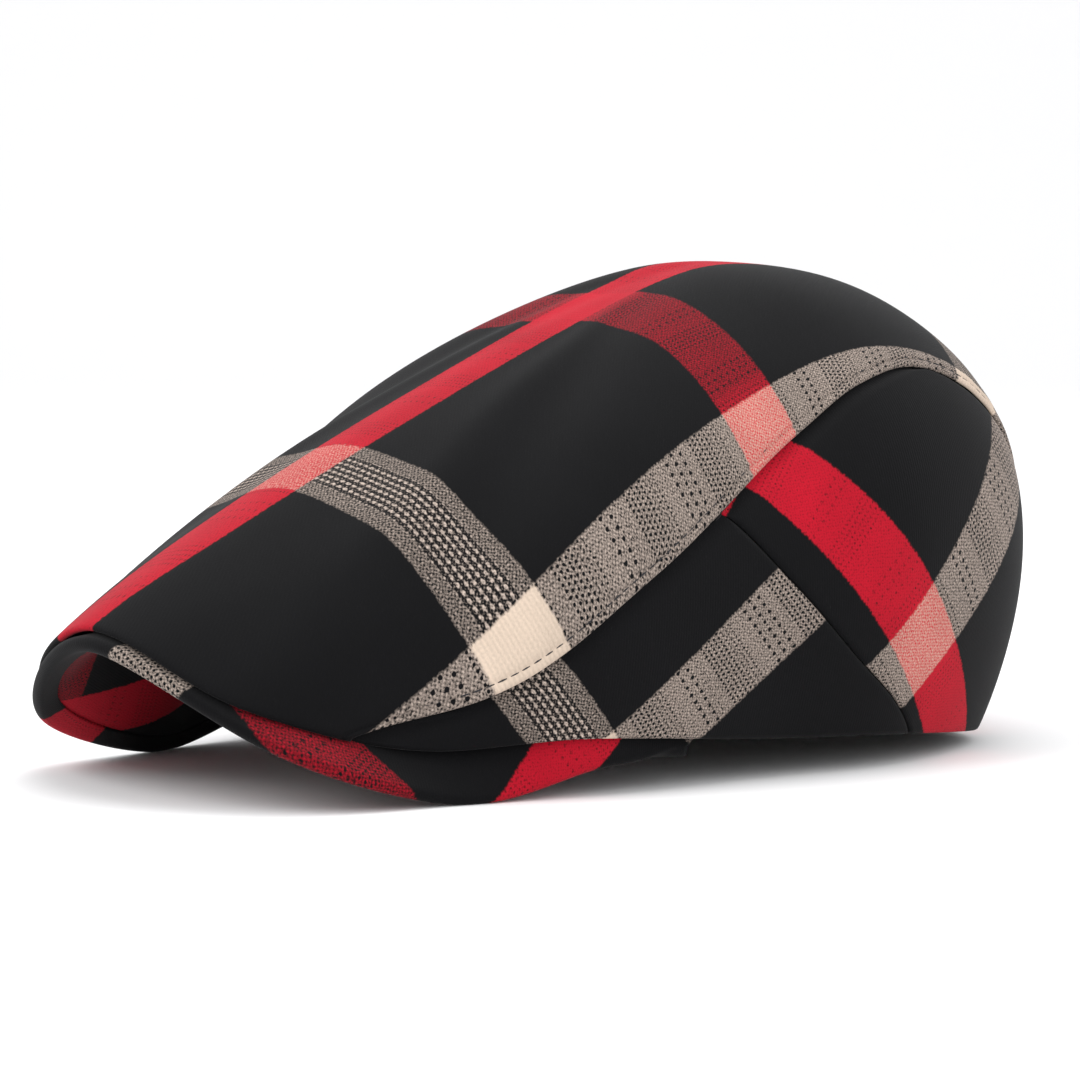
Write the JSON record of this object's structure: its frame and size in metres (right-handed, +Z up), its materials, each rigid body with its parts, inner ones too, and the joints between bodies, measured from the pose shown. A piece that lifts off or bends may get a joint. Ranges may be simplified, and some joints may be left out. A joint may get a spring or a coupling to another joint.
{
  "type": "newsboy cap",
  "caption": "Duckbill newsboy cap in checked wool cloth: domed crown of sewn panels, stiff arched bill, satin lining and a cotton sweatband.",
  "frame": {"origin": "middle of the cap's bounding box, on the plane of the table that it rests on", "axes": "+Z up, -Y towards the tip of the bill, +X towards the wearer's left"},
  "size_m": [0.178, 0.2848, 0.129],
  "materials": {
    "crown_cloth": "matt brushed wool blend, black with red and grey overchecks",
    "brim_cloth": "the same wool blend, stretched over the bill",
    "lining": "smooth satin lining",
    "sweatband": "close woven cotton band",
    "elastic": "ribbed elastic tape",
    "interfacing": "stiff woven interfacing",
    "brim_board": "moulded sheet",
    "thread": "spun polyester thread",
    "label": "blank woven tape"
  },
  "bodies": {
    "cap": {"top_panel": "crown_cloth", "left_side_panel": "crown_cloth", "right_side_panel": "crown_cloth", "left_back_panel": "crown_cloth", "right_back_panel": "crown_cloth", "front_interfacing": "interfacing", "top_lining": "lining", "left_lining": "lining", "right_lining": "lining", "brim_top_cover": "brim_cloth", "brim_board": "brim_board", "brim_under_cover": "brim_cloth", "sweatband": "sweatband", "sweatband_elastic": "elastic", "left_seam_thread": "thread", "right_seam_thread": "thread"},
    "label": {"size_label": "label"}
  },
  "joints": [
    {"name": "label_swing", "type": "hinge", "parent": "cap", "child": "label", "pos_m": [0, 0.1145, 0.031], "axis": [-1, 0, 0], "range_deg": [0, 100]}
  ]
}
